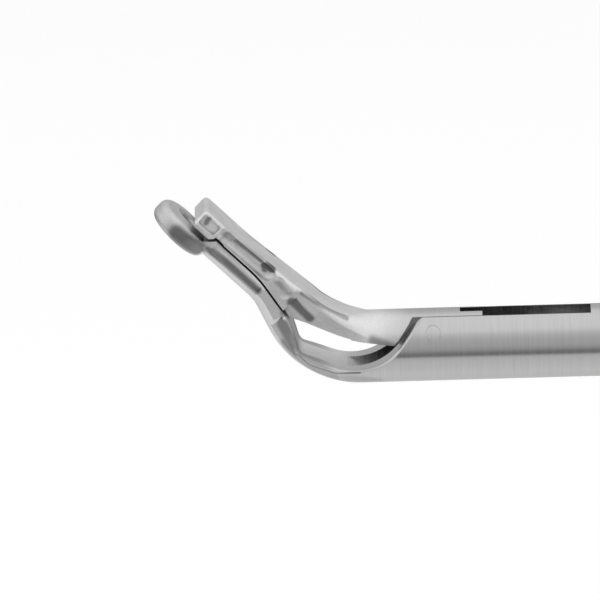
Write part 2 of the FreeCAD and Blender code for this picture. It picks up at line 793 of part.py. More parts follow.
def cam_slot():
    """The slanted slot of the fork: the drive pin's path, seen from the turning jaw."""
    path = []
    for part_way in (0.0, 0.5, 1.0):
        pin = Vector(size("drive_pin_place") - ROD_TRAVEL * part_way, 0, 0) - PIVOT
        turn = Rotation(WIDE, -math.degrees(JAW_OPEN) * part_way)
        path.append(PIVOT + turn.multVec(pin))
    first, middle, last = path
    chord = last - first
    sag = middle - (first + last) * 0.5
    centre_shift = sag * 0.5
    radius = size("drive_pin_diameter") / 2 + size("cam_clearance") + sag.Length / 2
    across = Vector(chord.z, 0, -chord.x).normalize() * radius
    start, end = first + centre_shift, last + centre_shift
    tip_start = start - chord * (radius / chord.Length)
    tip_end = end + chord * (radius / chord.Length)
    wire = Part.Wire([
        Part.LineSegment(start + across, end + across).toShape(),
        Part.Arc(end + across, tip_end, end - across).toShape(),
        Part.LineSegment(end - across, start - across).toShape(),
        Part.Arc(start - across, tip_start, start + across).toShape(),
    ])
    face = Part.Face(wire)
    face.translate(WIDE * -SHAFT_R)
    return face.extrude(WIDE * 2 * SHAFT_R)


def jaw_recesses(side_sign):
    """Milled recesses in each flank of the upper jaw: pocket, saddle, long scallop, hollow and scoop."""
    end = size("upper_end")
    face = JAW_FACE + size("jaw_gap")
    front = end - size("pocket_front")
    rear = front - size("pocket_length")
    low = face + size("pocket_low")
    high = low + size("pocket_height")
    corner = size("pocket_corner")
    pocket = side_plate([
        (jaw_point(front, low), corner), (jaw_point(front, high), corner),
        (jaw_point(rear, high), corner), (jaw_point(rear, low), corner),
    ], 2 * FLANK)
    pocket.translate(WIDE * (side_sign * (2 * FLANK - size("pocket_depth"))))
    saddle_foot = jaw_point(size("saddle_place"), low)
    saddle_head = jaw_point(size("saddle_place"), high)
    saddle = round_recess(saddle_foot, size("saddle_depth"), saddle_head, size("saddle_depth"),
                          size("saddle_radius"), side_sign)
    scallop = round_recess(jaw_point(size("scallop_front"), face + size("scallop_level")), size("scallop_depth"),
                           jaw_point(size("scallop_rear"), face + size("scallop_level")),
                           size("scallop_rear_depth"), size("scallop_radius"), side_sign)
    hollow = round_recess(jaw_point(size("hollow_front"), face + size("hollow_level")), size("hollow_depth"),
                          jaw_point(size("hollow_rear"), face + size("hollow_level") / 2), size("hollow_depth"),
                          size("hollow_radius"), side_sign)
    step = size("scoop_station")
    scoop = sloped_recess([
        (jaw_point(step, NOSE_TOP - size("upper_edge_radius")), 0),
        (jaw_point(step, face - FLANK), 0),
        (Vector(-size("upper_bend_start"), 0, 0), 0),
        (Vector(-size("scoop_end"), 0, size("scoop_end_height")), 0),
        (jaw_point(step - size("scoop_head_run"), NOSE_TOP - size("scoop_head_drop")), size("scoop_bend")),
    ], size("scoop_depth"), size("scoop_slope"), side_sign)
    return [pocket, saddle, scallop, hollow, scoop]


nodes.append(feature("upper_jaw", upper_jaw()))


def ground_pin(name, diameter, place, radius):
    """A cross pin whose ends are ground flush with a round bar."""
    pin = doc.addObject("Part::Cylinder", name + "_blank")
    pin.setExpression("Radius", diameter + " / 2")
    pin.setExpression("Height", "2 * Sizes.shaft_diameter")
    pin.Placement = Placement(Vector(0, 0, 0), Rotation(Vector(1, 0, 0), -90))
    pin.setExpression("Placement.Base.x", place[0])
    pin.setExpression("Placement.Base.y", "-Sizes.shaft_diameter")
    pin.setExpression("Placement.Base.z", place[1])
    bar = doc.addObject("Part::Cylinder", name + "_bar")
    bar.setExpression("Radius", radius)
    bar.setExpression("Height", "4 * Sizes.shaft_diameter")
    bar.Placement = Placement(Vector(0, 0, 0), Rotation(Vector(0, 1, 0), 90))
    bar.setExpression("Placement.Base.x", place[0] + " - 2 * Sizes.shaft_diameter")
    ground = doc.addObject("Part::Common", name)
    ground.Base = bar
    ground.Tool = pin
    ground.Label = name
    doc.recompute()
    return ground


nodes.append(ground_pin("jaw_pin", "(Sizes.pivot_diameter - 0.01)",
                        ("Sizes.pivot_forward", "Sizes.pivot_height"), "Sizes.shaft_diameter / 2"))
nodes.append(ground_pin("drive_pin", "Sizes.drive_pin_diameter",
                        ("Sizes.drive_pin_place", "0"), "Sizes.slot_width / 2 - Sizes.web_clearance"))


# Rod end: a flat blade brazed into the rod's slit, with the drive pin through it
def rod_end():
    half = size("blade_height") / 2
    front = size("drive_pin_place") - size("blade_nose")
    blade = side_plate([
        (Vector(front, 0, -half), 0.5),
        (Vector(front, 0, half), 0.5),
        (Vector(front + size("blade_length"), 0, half), 0),
        (Vector(front + size("blade_length"), 0, -half), 0),
    ], size("blade_thickness"))
    hole = cylinder(size("drive_pin_diameter") / 2, 4, Vector(size("drive_pin_place"), -2, 0), WIDE)
    return blade.cut(hole)


nodes.append(feature("rod_end", rod_end()))

# Draw rod
BLOCK_A = "Sizes.shoulder + Sizes.tube_length - Sizes.spigot_length"
ROD_END_X = BLOCK_A + " + Sizes.handle_pivot_place + Sizes.rod_rear_overhang"
draw_rod = turned_body("draw_rod", [
    ("Sizes.rod_front", "0"), (ROD_END_X, "0"),
    (ROD_END_X, "Sizes.rod_diameter / 2"), ("Sizes.rod_front", "Sizes.rod_diameter / 2"),
])
slit = outline_sketch(draw_rod, "rod_slit_section", "XZ_Plane", [
    ("Sizes.rod_front - 1", "-Sizes.rod_diameter"),
    ("Sizes.drive_pin_place - Sizes.blade_nose + Sizes.blade_length", "-Sizes.rod_diameter"),
    ("Sizes.drive_pin_place - Sizes.blade_nose + Sizes.blade_length", "Sizes.rod_diameter"),
    ("Sizes.rod_front - 1", "Sizes.rod_diameter"),
])
slit_cut = draw_rod.newObject("PartDesign::Pocket", "rod_slit")
slit_cut.Profile = slit
slit_cut.Midplane = True
slit_cut.setExpression("Length", "Sizes.blade_thickness + 0.02")
doc.recompute()
nodes.append(draw_rod)

# Shaft tube
TUBE_A = "Sizes.shoulder"
TUBE_B = "Sizes.shoulder + Sizes.tube_length"
nodes.append(turned_body("shaft_tube", [
    (TUBE_A, "Sizes.tube_bore / 2"), (TUBE_B, "Sizes.tube_bore / 2"),
    (TUBE_B, "Sizes.shaft_diameter / 2"), (TUBE_A, "Sizes.shaft_diameter / 2"),
]))


# Guides that keep the rod straight in the tube
def rod_guides():
    rings = []
    for number in range(2):
        x = size("guide_first") + number * size("guide_pitch")
        outer = cylinder(size("tube_bore") / 2 - size("guide_clearance"), size("guide_length"),
                         Vector(x, 0, 0), Vector(1, 0, 0))
        inner = cylinder(ROD_R + size("rod_clearance"), size("guide_length"), Vector(x, 0, 0), Vector(1, 0, 0))
        rings.append(outer.cut(inner))
    return Part.Compound(rings)


nodes.append(feature("rod_guides", rod_guides()))

# Collar brazed to the tube, with a spigot for the handle block
COLLAR_BORE = "Sizes.shaft_diameter / 2 + Sizes.seat_clearance"
COLLAR_A = TUBE_B + " - Sizes.spigot_length - Sizes.collar_length"
COLLAR_B = TUBE_B + " - Sizes.spigot_length"
nodes.append(turned_body("shaft_collar", [
    (COLLAR_A, COLLAR_BORE), (TUBE_B, COLLAR_BORE), (TUBE_B, "Sizes.spigot_diameter / 2"),
    (COLLAR_B, "Sizes.spigot_diameter / 2"), (COLLAR_B, "Sizes.collar_diameter / 2 - 0.3"),
    (COLLAR_B + " - 0.3", "Sizes.collar_diameter / 2"),
    (COLLAR_A + " + 2 * Sizes.collar_edge", "Sizes.collar_diameter / 2"),
    (COLLAR_A, "Sizes.collar_diameter / 2 - Sizes.collar_edge"),
]))

# Seal ring round the rod, and the gland screw that presses on it
ROD_HOLE = "Sizes.rod_diameter / 2 + Sizes.rod_clearance"
SEAL_A = TUBE_B + " + Sizes.chamber_length"
SEAL_B = SEAL_A + " + Sizes.seal_length"
GLAND_B = SEAL_B + " + Sizes.gland_length"
nodes.append(turned_body("rod_seal", [
    (SEAL_A + " + 0.05", ROD_HOLE), (SEAL_B + " - 0.05", ROD_HOLE),
    (SEAL_B + " - 0.05", "Sizes.seal_diameter / 2 - Sizes.seat_clearance"),
    (SEAL_A + " + 0.05", "Sizes.seal_diameter / 2 - Sizes.seat_clearance"),
]))
nodes.append(turned_body("gland_screw", [
    (SEAL_B, ROD_HOLE), (GLAND_B + " + Sizes.gland_head_length", ROD_HOLE),
    (GLAND_B + " + Sizes.gland_head_length", "Sizes.gland_head_diameter / 2 - 0.3"),
    (GLAND_B + " + Sizes.gland_head_length - 0.3", "Sizes.gland_head_diameter / 2"),
    (GLAND_B, "Sizes.gland_head_diameter / 2"), (GLAND_B, "Sizes.gland_diameter / 2"),
    (SEAL_B, "Sizes.gland_diameter / 2"),
]))


# Handle: block with its shank and finger ring
def break_edges(shape, edge_size, half_width):
    """Chamfers the outline edges of a plate that is centred on the XZ plane."""
    rims = [edge for edge in shape.Edges if abs(abs(edge.CenterOfMass.y) - half_width) < 0.001]
    return shape.makeChamfer(edge_size, rims)


def shank(root, foot, bow, root_width, thickness):
    """A flat bar in the side view with broken edges; it bows a little between its root and its foot."""
    way = foot - root
    waist_width = size("shank_waist_width")
    stations = [(0, 0, root_width), (1 / 3, bow, waist_width), (2 / 3, bow, waist_width), (1, 0, size("shank_foot_width"))]
    square = Vector(way.z, 0, -way.x).normalize()
    front = []
    rear = []
    for share, shift, width in stations:
        middle = root + way * share + Vector(shift, 0, 0)
        bend = size("shank_bend") if 0 < share < 1 else 0
        front.append((middle + square * (width / 2), bend))
        rear.append((middle - square * (width / 2), bend))
    bar = side_plate(front + rear[::-1], thickness)
    return break_edges(bar, size("ring_edge"), thickness / 2)


def ring(centre):
    """A finger ring turned from a square bar with broken edges."""
    half = size("ring_section") / 2
    inner = half - size("ring_edge")
    corners = [(-half, -inner), (-inner, -half), (inner, -half), (half, -inner),
               (half, inner), (inner, half), (-inner, half), (-half, inner)]
    points = [centre + Vector(size("ring_radius") + reach, side, 0) for reach, side in corners]
    return Part.Face(Part.makePolygon(points + points[:1])).revolve(centre, WIDE, 360)


FINGER_RING = Vector(BLOCK_FRONT + size("finger_ring_place"), 0, -size("finger_ring_height"))
THUMB_RING = Vector(BLOCK_FRONT + size("thumb_ring_place"), 0, -size("thumb_ring_height"))


def block_hole(radius, start, end):
    return cylinder(radius, end - start, Vector(start, 0, 0), Vector(1, 0, 0))


def fixed_handle():
    half = size("block_width") / 2
    rear = BLOCK_FRONT + size("block_length")
    top = size("block_top")
    low = -size("block_bottom")
    nose_low = Vector(BLOCK_FRONT, 0, -size("block_nose_bottom"))
    soft = size("block_corner")
    block = side_plate([
        (Vector(BLOCK_FRONT, 0, top), soft),
        (Vector(rear - size("block_slope"), 0, top), 2 * soft),
        (Vector(rear, 0, -size("block_slope")), soft),
        (Vector(rear, 0, low), 2 * soft),
        (nose_low + Vector(size("block_chin"), 0, low - nose_low.z), 2 * soft),
        (nose_low, soft),
    ], size("block_width"))
    block = break_edges(block, size("block_edge"), half)
    root = Vector(BLOCK_FRONT + size("shank_root_place"), 0, low + size("shank_root_depth"))
    arm = shank(root, FINGER_RING + Vector(0, 0, size("ring_radius")), -size("shank_bow"),
                size("shank_top_width"), size("ring_section"))
    body = block.fuse([arm, ring(FINGER_RING)])
    play = size("seat_clearance")
    body = body.cut(block_hole(size("spigot_diameter") / 2 + play, BLOCK_FRONT - 1, TUBE_END))
    body = body.cut(block_hole(size("chamber_diameter") / 2, TUBE_END - 1, CHAMBER_END))
    body = body.cut(block_hole(size("seal_diameter") / 2, CHAMBER_END, SEAL_END))
    body = body.cut(block_hole(size("gland_diameter") / 2 + play, SEAL_END, GLAND_END))
    head_hole = size("gland_head_diameter") / 2 + size("gland_head_play")
    body = body.cut(block_hole(head_hole, GLAND_END, SLOT_FRONT + 1))
    slot = Part.makeBox(size("block_length"), size("lever_slot_width"), 4 * size("block_bottom"),
                        Vector(SLOT_FRONT, -size("lever_slot_width") / 2, -2 * size("block_bottom")))
    body = body.cut(slot)
    screw_hole = cylinder(size("screw_diameter") / 2 + play, 4 * half, LEVER_PIVOT - WIDE * 2 * half, WIDE)
    body = body.cut(screw_hole)
    for place, diameter in (("port_place", "port_stub_diameter"), ("lock_screw_place", "lock_screw_diameter")):
        foot = Vector(BLOCK_FRONT + size(place), 0, 1)
        body = body.cut(cylinder(size(diameter) / 2 + play, 2 * top, foot, Vector(0, 0, 1)))
    return body.removeSplitter()


nodes.append(feature("fixed_handle", fixed_handle()))


# Moving handle: forked lever, hub, shank and thumb ring
def moving_handle():
    thick = size("lever_slot_width") - 2 * size("washer_thickness") - 4 * size("washer_gap")
    hub_r = size("hub_diameter") / 2
    half_lever = size("lever_width") / 2
    x = LEVER_PIVOT.x
    hub = cylinder(hub_r, thick, LEVER_PIVOT - WIDE * thick / 2, WIDE)
    lever = side_plate([
        (Vector(x - half_lever, 0, LEVER_PIVOT.z), 0),
        (Vector(x - half_lever, 0, size("lever_top")), size("lever_corner")),
        (Vector(x + half_lever, 0, size("lever_top")), size("lever_corner")),
        (Vector(x + half_lever, 0, LEVER_PIVOT.z), 0),
    ], thick)
    arm = shank(LEVER_PIVOT - Vector(0, 0, hub_r / 2), THUMB_RING + Vector(0, 0, size("ring_radius")),
                size("shank_bow"), size("lever_width"), thick)
    body = hub.fuse([lever, arm, ring(THUMB_RING)])

    # The pocket lets the ball rise and fall as the lever swings; the slot clears the rod on both sides
    drop = size("lever_arm") * (1 - math.cos(HANDLE_OPEN))
    play = size("ball_clearance")
    ball_r = size("ball_diameter") / 2 + play
    above = 4 * size("lever_top")
    pocket = Part.makeBox(2 * ball_r, 2 * ball_r, above, Vector(x - ball_r, -ball_r, -ball_r - drop - 2 * play))
    neck_r = size("ball_neck") / 2 + 3 * play
    rod_low = -(neck_r / math.cos(HANDLE_OPEN) + drop + half_lever * math.tan(HANDLE_OPEN))
    rod_slot = Part.makeBox(4 * half_lever, 2 * neck_r, above, Vector(x - 2 * half_lever, -neck_r, rod_low))
    hole = cylinder(size("screw_diameter") / 2 + size("screw_clearance"), 2 * thick, LEVER_PIVOT - WIDE * thick, WIDE)
    return body.cut(pocket).cut(rod_slot).cut(hole).removeSplitter()


nodes.append(feature("moving_handle", moving_handle()))


def pivot_washers():
    thick = size("washer_thickness")
    rings = []
    for side_sign in (-1, 1):
        middle = side_sign * (size("lever_slot_width") / 2 - size("washer_gap") - thick / 2)
        base = LEVER_PIVOT + WIDE * (middle - thick / 2)
        outer = cylinder(size("washer_diameter") / 2, thick, base, WIDE)
        inner = cylinder(size("screw_diameter") / 2 + size("screw_clearance"), thick, base, WIDE)
        rings.append(outer.cut(inner))
    return Part.Compound(rings)


nodes.append(feature("pivot_washers", pivot_washers()))


# Handle screw and nut
def handle_screw():
    half = size("block_width") / 2
    head = size("screw_head_height")
    body = cylinder(size("screw_diameter") / 2, 2 * half, LEVER_PIVOT - WIDE * half, WIDE)
    cap = cylinder(size("screw_head_diameter") / 2, head, LEVER_PIVOT - WIDE * (half + head), WIDE)
    rim = [edge for edge in cap.Edges if isinstance(edge.Curve, Part.Circle)
           and edge.CenterOfMass.y < -half - head / 2]
    cap = cap.makeChamfer(size("screw_edge"), rim)
    slot_width = size("screw_slot_width")
    driver = Part.makeBox(2 * size("screw_head_diameter"), size("screw_slot_depth"), slot_width,
                          LEVER_PIVOT + Vector(-size("screw_head_diameter"), -half - head, -slot_width / 2))
    thread = cylinder(size("nut_thread") / 2, size("nut_height"), LEVER_PIVOT + WIDE * half, WIDE)
    return body.fuse([cap, thread]).cut(driver).removeSplitter()


nodes.append(feature("handle_screw", handle_screw()))


def handle_nut():
    half = size("block_width") / 2
    nut = cylinder(size("nut_diameter") / 2, size("nut_height"), LEVER_PIVOT + WIDE * half, WIDE)
    rim = [edge for edge in nut.Edges if isinstance(edge.Curve, Part.Circle)
           and edge.CenterOfMass.y > half + size("nut_height") / 2]
    nut = nut.makeChamfer(size("screw_edge"), rim)
    hole = cylinder(size("nut_thread") / 2, size("nut_height"), LEVER_PIVOT + WIDE * half, WIDE)
    return nut.cut(hole)


nodes.append(feature("handle_nut", handle_nut()))


# Rod ball and the nut that locks it
def rod_ball():
    centre = Vector(LEVER_PIVOT.x, 0, 0)
    ball = Part.makeSphere(size("ball_diameter") / 2, centre)
    neck = cylinder(size("ball_neck") / 2, size("lock_nut_place"), centre, Vector(1, 0, 0))
    reach = size("lock_nut_place") + size("ball_diameter")
    return ball.fuse(neck).cut(cylinder(ROD_R, 2 * reach, centre - Vector(reach, 0, 0), Vector(1, 0, 0)))


nodes.append(feature("rod_ball", rod_ball()))


def rod_lock_nut():
    x = LEVER_PIVOT.x + size("lock_nut_place")
    corner_r = size("lock_nut_width") / 2 / math.cos(math.pi / 6)
    corners = []
    for number in range(6):
        turn = math.radians(60 * number)
        corners.append(Vector(x, corner_r * math.cos(turn), corner_r * math.sin(turn)))
    nut = Part.Face(Part.makePolygon(corners + corners[:1])).extrude(Vector(size("lock_nut_length"), 0, 0))
    return nut.cut(cylinder(ROD_R, 3 * size("lock_nut_length"), Vector(x - 1, 0, 0), Vector(1, 0, 0)))


nodes.append(feature("rod_lock_nut", rod_lock_nut()))

# Flushing port on the block, over the chamber
port_x = BLOCK_FRONT + size("port_place")
flush_port = turned_body("flush_port", [
    ("Sizes.port_passage / 2", "Sizes.chamber_diameter / 2 + 0.3"),
    ("Sizes.port_stub_diameter / 2", "Sizes.chamber_diameter / 2 + 0.3"),
    ("Sizes.port_stub_diameter / 2", "Sizes.block_top"),
    ("Sizes.port_base_diameter / 2", "Sizes.block_top"),
    ("Sizes.port_base_diameter / 2", "Sizes.block_top + Sizes.port_base_height"),
    ("Sizes.port_diameter / 2", "Sizes.block_top + Sizes.port_base_height + 0.6"),
    ("Sizes.port_diameter / 2", "Sizes.block_top + Sizes.port_height - Sizes.port_lug_height"),
    ("Sizes.port_lug_diameter / 2", "Sizes.block_top + Sizes.port_height - Sizes.port_lug_height"),
    ("Sizes.port_lug_diameter / 2", "Sizes.block_top + Sizes.port_height"),
    ("Sizes.port_bore / 2", "Sizes.block_top + Sizes.port_height"),
    ("Sizes.port_bore / 2", "Sizes.block_top + Sizes.port_height - Sizes.port_bore_depth"),
    ("Sizes.port_passage / 2", "Sizes.block_top + Sizes.port_height - Sizes.port_bore_depth"),
], axis="V_Axis")
flush_port.setExpression("Placement.Base.x", BLOCK_A + " + Sizes.port_place")
nodes.append(flush_port)

# Grub screw that locks the shaft's collar
lock_screw = turned_body("shaft_lock_screw", [
    ("0", "Sizes.spigot_diameter / 2 + Sizes.seat_clearance"),
    ("Sizes.lock_screw_diameter / 2", "Sizes.spigot_diameter / 2 + Sizes.seat_clearance"),
    ("Sizes.lock_screw_diameter / 2", "Sizes.block_top - 0.2"),
    ("Sizes.lock_screw_socket / 2", "Sizes.block_top - 0.2"),
    ("Sizes.lock_screw_socket / 2", "Sizes.block_top - 1.2"),
    ("0", "Sizes.block_top - 1.2"),
], axis="V_Axis")
lock_screw.setExpression("Placement.Base.x", BLOCK_A + " + Sizes.lock_screw_place")
nodes.append(lock_screw)


def check_and_export():
    for item in doc.Objects:
        if "Invalid" in item.State or "Error" in item.State:
            raise RuntimeError(f"{item.Name} failed: {item.State}")
    for part in nodes:
        shape = part.Shape
        if shape.isNull() or not shape.isValid():
            raise RuntimeError(f"{part.Label} has no valid shape")
        shape.exportStep(f"parts/{part.Label}.step")
        box = shape.BoundBox
        print(part.Label, len(shape.Solids), round(shape.Volume, 3),
              [round(value, 2) for value in (box.XMin, box.YMin, box.ZMin, box.XMax, box.YMax, box.ZMax)])


doc.recompute()
check_and_export()
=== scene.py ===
# %% [markdown]
# A knot pusher is a long, slim surgical instrument. Its bent tip carries a suture through a small eyelet,
# and a hinged upper jaw closes on the eyelet when the ring handle is squeezed.
# The solids come ready made in one shared frame, so this file gives them their metal, plastic and rubber,
# and sets up the light and the camera of a product photograph. Blender counts in metres, so a length in
# millimetres is multiplied by MM.

import math

import bpy
import numpy as np
from mathutils import Matrix, Vector


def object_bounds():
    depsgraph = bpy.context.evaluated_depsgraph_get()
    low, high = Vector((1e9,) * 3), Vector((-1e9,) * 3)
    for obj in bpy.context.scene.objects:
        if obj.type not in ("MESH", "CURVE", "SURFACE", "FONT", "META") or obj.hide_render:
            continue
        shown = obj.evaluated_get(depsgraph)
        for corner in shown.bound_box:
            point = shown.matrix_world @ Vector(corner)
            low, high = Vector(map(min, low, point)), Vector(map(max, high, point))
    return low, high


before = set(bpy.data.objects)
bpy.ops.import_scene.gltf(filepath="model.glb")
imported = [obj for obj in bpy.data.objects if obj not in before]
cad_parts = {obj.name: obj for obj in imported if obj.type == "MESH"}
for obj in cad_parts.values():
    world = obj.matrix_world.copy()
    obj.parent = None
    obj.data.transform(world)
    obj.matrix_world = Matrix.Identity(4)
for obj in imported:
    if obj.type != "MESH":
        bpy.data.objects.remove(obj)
MM = 0.001


def corners_of(bounds):
    """The lowest and the highest corner of a box as two plain lists of numbers."""
    low, high = bounds
    return [[float(value) for value in low], [float(value) for value in high]]


cad_bounds = corners_of(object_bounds())

# %% [markdown]
# The photograph was taken with a long lens, so lines that run away from the camera hardly draw together.
# The camera here has such a lens too. It looks along +Y, a little from above, and it is rolled slightly,
# because the shaft climbs towards the right-hand edge of the picture.

# %% Camera
PIXELS = 600
PIXELS_PER_MM = 14.6
VIEW_WIDTH = PIXELS / PIXELS_PER_MM * MM
VIEW_CENTRE = Vector((-8.134, 0.0, 3.45)) * MM
ELEVATION = math.radians(18.5)
ROLL = math.radians(1.6)
CAMERA_DISTANCE = 0.8
NEAREST_SEEN = 0.01
FARTHEST_SEEN = 20.0


def make_camera():
    """Camera looking along +Y and down by the elevation; the roll turns the picture about its centre.
    The lens length is sensor width times distance over the width that the picture shows."""
    data = bpy.data.cameras.new("product_camera")
    data.lens = data.sensor_width * CAMERA_DISTANCE / VIEW_WIDTH
    data.clip_start = NEAREST_SEEN
    data.clip_end = FARTHEST_SEEN
    camera = bpy.data.objects.new("product_camera", data)
    bpy.context.scene.collection.objects.link(camera)
    tilt = Matrix.Rotation(math.pi / 2 - ELEVATION, 4, "X")
    turn = Matrix.Rotation(-ROLL, 4, "Z")
    back = Vector((0.0, -math.cos(ELEVATION), math.sin(ELEVATION))) * CAMERA_DISTANCE
    camera.matrix_world = Matrix.Translation(VIEW_CENTRE + back) @ tilt @ turn
    bpy.context.scene.camera = camera
    return camera


camera = make_camera()
print("lens:", round(camera.data.lens), "mm")

# %% [markdown]
# The light and every finish are made of shader nodes. Three small helpers keep that readable: one adds a
# node with its settings, one does a sum with numbers or with other nodes' outputs, and one turns a value
# between 0 and 1 into a grey level.

# %% Node helpers
def add_node(tree, kind, **settings):
    """A shader node with its own settings, such as its operation."""
    node = tree.nodes.new(kind)
    for key, value in settings.items():
        setattr(node, key, value)
    return node


def maths(tree, operation, *values):
    """A Math node; each value is a number or another node's output."""
    node = add_node(tree, "ShaderNodeMath", operation=operation)
    for socket, value in zip(node.inputs, values):
        if isinstance(value, (int, float)):
            socket.default_value = value
        else:
            tree.links.new(value, socket)
    return node.outputs[0]


def ramp(tree, value, stops):
    """A colour ramp over 0..1; each stop is a place and a grey level."""
    node = add_node(tree, "ShaderNodeValToRGB")
    elements = node.color_ramp.elements
    while len(elements) < len(stops):
        elements.new(0.5)
    for element, (place, level) in zip(elements, stops):
        element.position = place
        element.color = (level, level, level, 1.0)
    tree.links.new(value, node.inputs["Fac"])
    return node.outputs["Color"]


# %% [markdown]
# Polished metal has hardly any colour of its own: it shows the room. A product studio is a white tent
# with a dark board in it, and the board draws a dark stripe along a round shaft.
# A world shader can hold that room as a function of direction. What counts for a shaft along X is how far
# a direction rises above the horizon as it turns round X: 0 degrees is level, 90 is overhead and -90 is
# straight down. A colour ramp over that angle gives the brightness, with the board a little below the
# horizon. It takes no notice of front and back, so it serves the views from behind too.

# %% World
scene = bpy.context.scene
scene.view_settings.view_transform = "Standard"
WHITE = (1.0, 1.0, 1.0, 1.0)
FILL_LEVEL = 0.55
# (degrees above the horizon, brightness in a mirror)
ROOM = [(-90, 0.76), (-46, 0.67), (-28, 0.62), (-24, 0.16), (-14, 0.22), (-4, 0.42), (6, 0.50),
        (24, 0.53), (36, 0.60), (46, 0.70), (58, 0.86), (90, 0.89)]


def room_brightness(tree):
    """The ramp over the angle atan2(z, |y|), carried from -90..90 degrees to 0..1."""
    direction = add_node(tree, "ShaderNodeTexCoord").outputs["Generated"]
    parts = add_node(tree, "ShaderNodeSeparateXYZ")
    tree.links.new(direction, parts.inputs[0])
    level_part = maths(tree, "ABSOLUTE", parts.outputs["Y"])
    angle = maths(tree, "ARCTAN2", parts.outputs["Z"], level_part)
    share = maths(tree, "ADD", maths(tree, "DIVIDE", angle, math.pi), 0.5)
    return ramp(tree, share, [((degrees + 90) / 180, level) for degrees, level in ROOM])


def mix_light(tree, share, first, second):
    """The first light where the share is 0, the second where it is 1."""
    node = add_node(tree, "ShaderNodeMixShader")
    tree.links.new(share, node.inputs["Fac"])
    tree.links.new(first.outputs[0], node.inputs[1])
    tree.links.new(second.outputs[0], node.inputs[2])
    return node


def seen_directly(tree, path):
    """1 for rays that come straight from the camera or through something clear."""
    return maths(tree, "MAXIMUM", path.outputs["Is Camera Ray"], path.outputs["Is Transmission Ray"])


def make_world():
    """Camera and transmission rays see white, glossy rays the room, and matt surfaces an even fill."""
    world = bpy.data.worlds.new("white_tent")
    world.use_nodes = True
    tree = world.node_tree
    tree.nodes.clear()
    room = add_node(tree, "ShaderNodeBackground")
    tree.links.new(room_brightness(tree), room.inputs["Color"])
    white = add_node(tree, "ShaderNodeBackground")
    white.inputs["Color"].default_value = WHITE
    fill = add_node(tree, "ShaderNodeBackground")
    fill.inputs["Color"].default_value = WHITE
    fill.inputs["Strength"].default_value = FILL_LEVEL
    path = add_node(tree, "ShaderNodeLightPath")
    matt_or_room = mix_light(tree, path.outputs["Is Glossy Ray"], fill, room)
    final = mix_light(tree, seen_directly(tree, path), matt_or_room, white)
    out = add_node(tree, "ShaderNodeOutputWorld")
    tree.links.new(final.outputs[0], out.inputs["Surface"])
    scene.world = world


make_world()
darkest, board_angle = min((level, degrees) for degrees, level in ROOM)
print("room:", len(ROOM), "levels, the darkest", darkest, "at", board_angle, "degrees")

# %% [markdown]
# The floor is a pale table top under the rings, the lowest part of the instrument.
# It is matt, so it takes the shadow, and it glows a little for what looks at it directly,
# so that it reads as white paper. Mirror-like rays pass it and meet the room instead.

# %% Floor
FLOOR_Z = cad_bounds[0][2]
FLOOR_HALF = 20.0
FLOOR_GLOW = 0.34
PAPER = (0.82, 0.82, 0.82, 1.0)


def paper_material():
    """Matt white plus an emission that only direct views get."""
    material = bpy.data.materials.new("white_paper")
    material.use_nodes = True
    tree = material.node_tree
    tree.nodes.clear()
    matt = add_node(tree, "ShaderNodeBsdfDiffuse")
    matt.inputs["Color"].default_value = PAPER
    seen = seen_directly(tree, add_node(tree, "ShaderNodeLightPath"))
    glow = add_node(tree, "ShaderNodeEmission")
    tree.links.new(maths(tree, "MULTIPLY", seen, FLOOR_GLOW), glow.inputs["Strength"])
    both = add_node(tree, "ShaderNodeAddShader")
    tree.links.new(matt.outputs[0], both.inputs[0])
    tree.links.new(glow.outputs[0], both.inputs[1])
    out = add_node(tree, "ShaderNodeOutputMaterial")
    tree.links.new(both.outputs[0], out.inputs["Surface"])
    return material


def make_floor():
    """One large square in the plane of the lowest point."""
    mesh = bpy.data.meshes.new("floor")
    signs = [(-1, -1), (1, -1), (1, 1), (-1, 1)]
    corners = [(across * FLOOR_HALF, deep * FLOOR_HALF, FLOOR_Z) for across, deep in signs]
    mesh.from_pydata(corners, [], [(0, 1, 2, 3)])
    mesh.materials.append(paper_material())
    floor = bpy.data.objects.new("floor", mesh)
    floor.visible_glossy = False
    scene.collection.objects.link(floor)


make_floor()
print("floor:", round(-FLOOR_Z / MM, 1), "mm below the shaft's axis")

# %% [markdown]
# Two square soft lamps light the matt parts and cast the soft shadow: a wide one overhead,
# and a smaller, weaker one at the left. Mirror-like rays pass them too, because the room already holds
# their light.

# %% Lamps
def soft_lamp(name, place, target, width, radiance):
    """A square lamp that faces its target; its power is radiance times pi times area."""
    data = bpy.data.lights.new(name, "AREA")
    data.shape = "SQUARE"
    data.size = width
    data.energy = radiance * math.pi * width * width
    lamp = bpy.data.objects.new(name, data)
    scene.collection.objects.link(lamp)
    lamp.location = place
    lamp.rotation_euler = (Vector(target) - Vector(place)).to_track_quat("-Z", "Y").to_euler()
    lamp.visible_glossy = False
    return data.energy


overhead_power = soft_lamp("overhead_lamp", place=(0.05, 0.0, 0.75), target=(0.05, 0.0, 0.0),
                           width=0.8, radiance=1.1)
left_power = soft_lamp("left_lamp", place=(-0.7, -0.25, 0.35), target=(0.0, 0.0, 0.0),
                       width=0.4, radiance=1.0)
print("lamps:", round(overhead_power, 2), "W overhead,", round(left_power, 2), "W at the left")

# %% [markdown]
# Every finish needs its shader and a place on the object. Object coordinates are used throughout, because
# each solid's own coordinates are the shared frame, so a pattern stays on the metal when a joint moves.
# They are counted in millimetres here, the unit in which an instrument maker thinks.

# %% Material and place
def new_material(name):
    """A material with its node tree and its Principled shader."""
    material = bpy.data.materials.new(name)
    material.use_nodes = True
    return material, material.node_tree, material.node_tree.nodes["Principled BSDF"]


